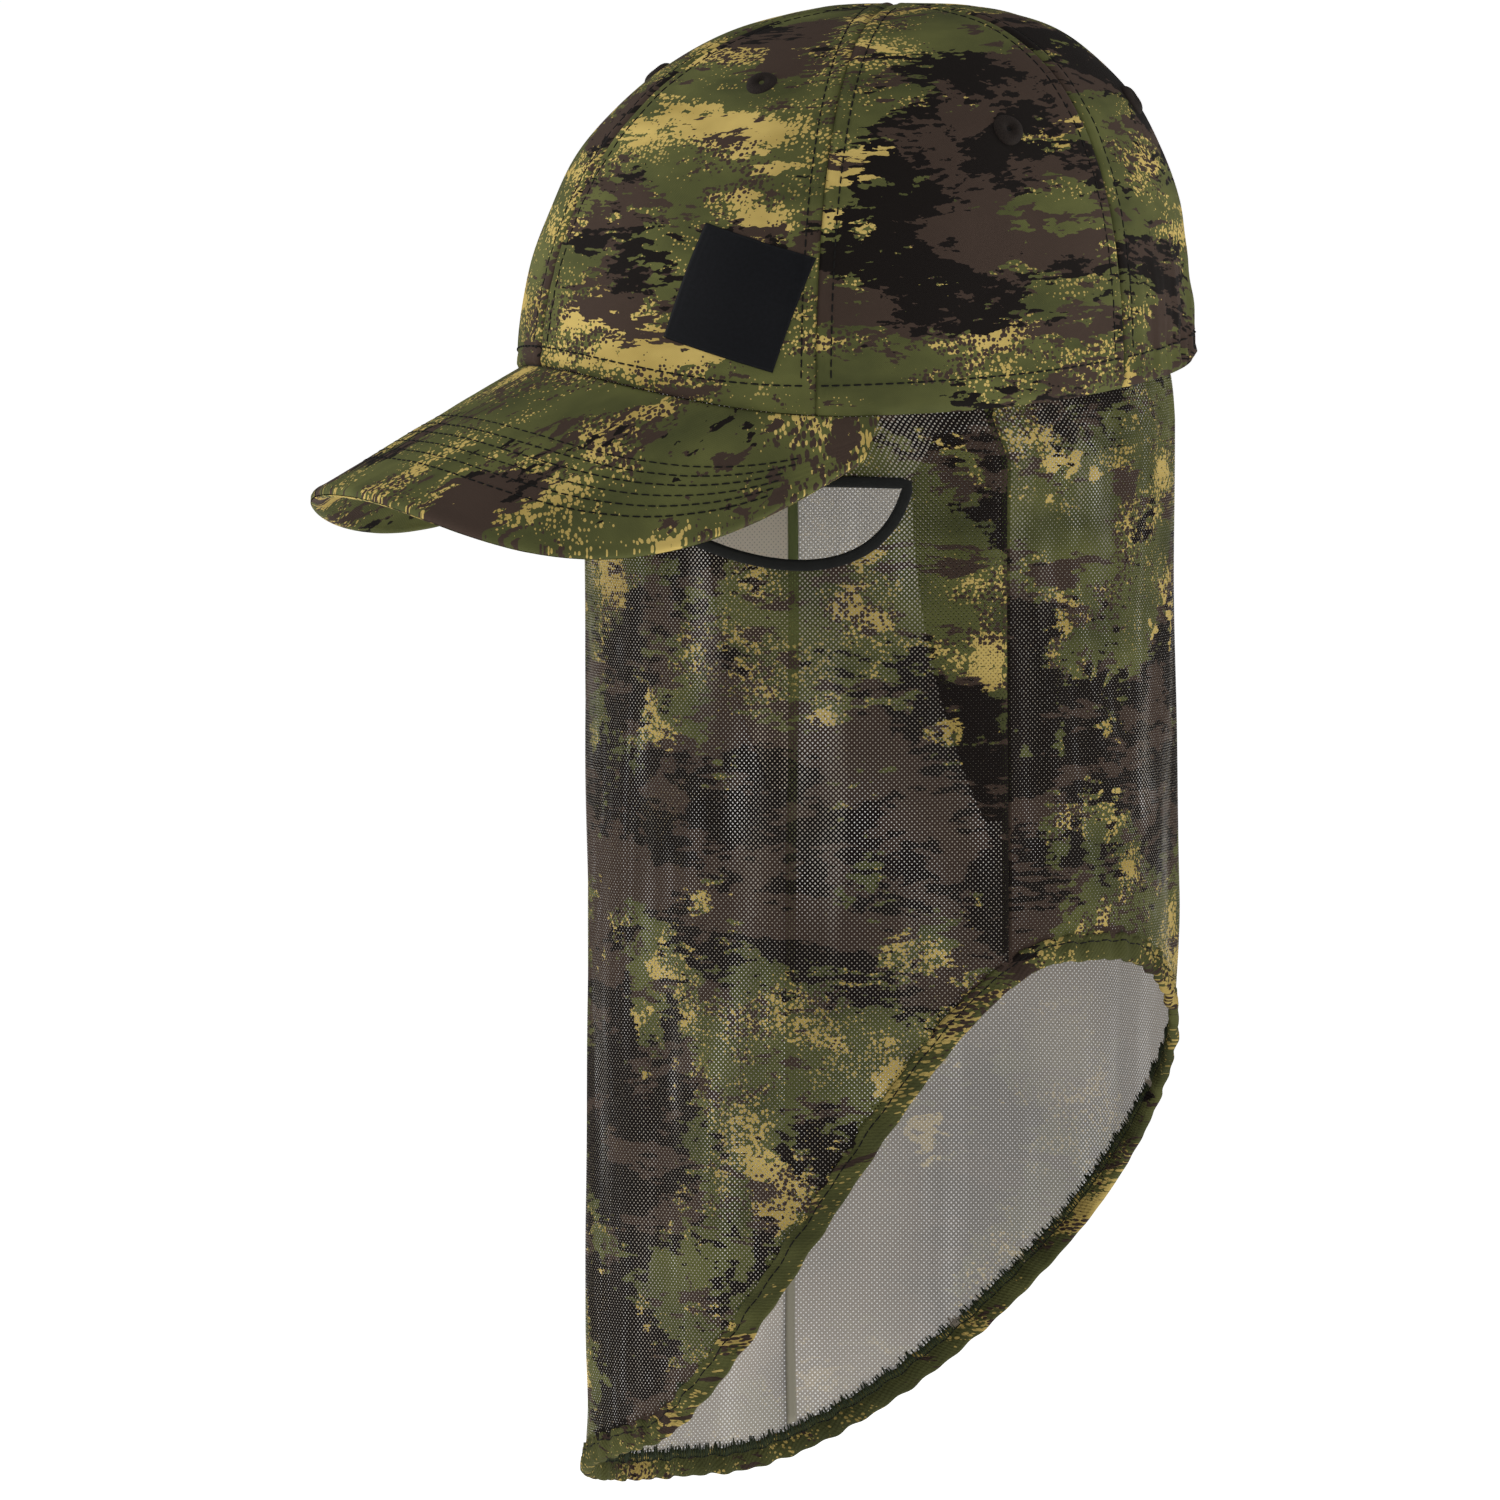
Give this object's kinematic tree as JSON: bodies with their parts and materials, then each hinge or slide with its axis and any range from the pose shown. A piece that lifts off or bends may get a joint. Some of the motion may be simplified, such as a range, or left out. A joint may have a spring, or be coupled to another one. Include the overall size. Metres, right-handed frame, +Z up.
{
  "type": "cap with face and neck net",
  "caption": "Six-panel camouflage cap with a curved brim and a drop-down mesh face and neck net that has two bound eye openings and an elastic hem.",
  "frame": {"origin": "middle of the head opening, level with the lowest point of its edge; the wearer's head holds it there", "axes": "+Z up, brim towards -Y, the wearer's left towards +X"},
  "size_m": [0.16, 0.2609, 0.424],
  "materials": {
    "camo_cloth": "matt woven cloth printed with a ragged olive, tan and brown camouflage",
    "camo_net": "sheer knitted mesh, camouflage print outside and pale grey inside",
    "net_tape": "olive knitted tape",
    "hem_cloth": "doubled mesh with dark stitching",
    "binding_cloth": "matt black binding",
    "lining_cloth": "stiff dark buckram",
    "tape_cloth": "dark woven tape",
    "sweatband_cloth": "soft dark twill",
    "elastic": "knitted black elastic",
    "eyelet_thread": "dark brown embroidery thread",
    "patch_film": "matt black heat-transfer film",
    "brim_plastic": "matt"
  },
  "bodies": {
    "cap": {"crown_front_left": "camo_cloth", "eyelet_front_left": "eyelet_thread", "crown_side_left": "camo_cloth", "eyelet_side_left": "eyelet_thread", "crown_back_left": "camo_cloth", "eyelet_back_left": "eyelet_thread", "front_lining_left": "lining_cloth", "seam_tape_front_left": "tape_cloth", "seam_tape_back_left": "tape_cloth", "net_seam_tape_left": "net_tape", "net_side_facing_left": "camo_net", "eye_binding_left": "binding_cloth", "crown_front_right": "camo_cloth", "eyelet_front_right": "eyelet_thread", "crown_side_right": "camo_cloth", "eyelet_side_right": "eyelet_thread", "crown_back_right": "camo_cloth", "eyelet_back_right": "eyelet_thread", "front_lining_right": "lining_cloth", "seam_tape_front_right": "tape_cloth", "seam_tape_back_right": "tape_cloth", "net_seam_tape_right": "net_tape", "net_side_facing_right": "camo_net", "eye_binding_right": "binding_cloth", "seam_tape_front": "tape_cloth", "seam_tape_back": "tape_cloth", "sweatband": "sweatband_cloth", "back_elastic": "elastic", "front_patch": "patch_film", "brim_top_cover": "camo_cloth", "brim_under_cover": "camo_cloth", "brim_board": "brim_plastic", "net_face_panel": "camo_net", "net_neck_panel": "camo_net", "net_top_band": "tape_cloth"},
    "hem": {"hem_casing": "hem_cloth", "hem_elastic": "elastic"}
  },
  "joints": [
    {"name": "net_gather", "type": "slide", "parent": "cap", "child": "hem", "axis": [0, 0, 1], "range_m": [0, 0.085], "deforming": ["net_face_panel", "net_neck_panel", "net_seam_tape_left", "net_seam_tape_right", "net_side_facing_left", "net_side_facing_right"]}
  ]
}
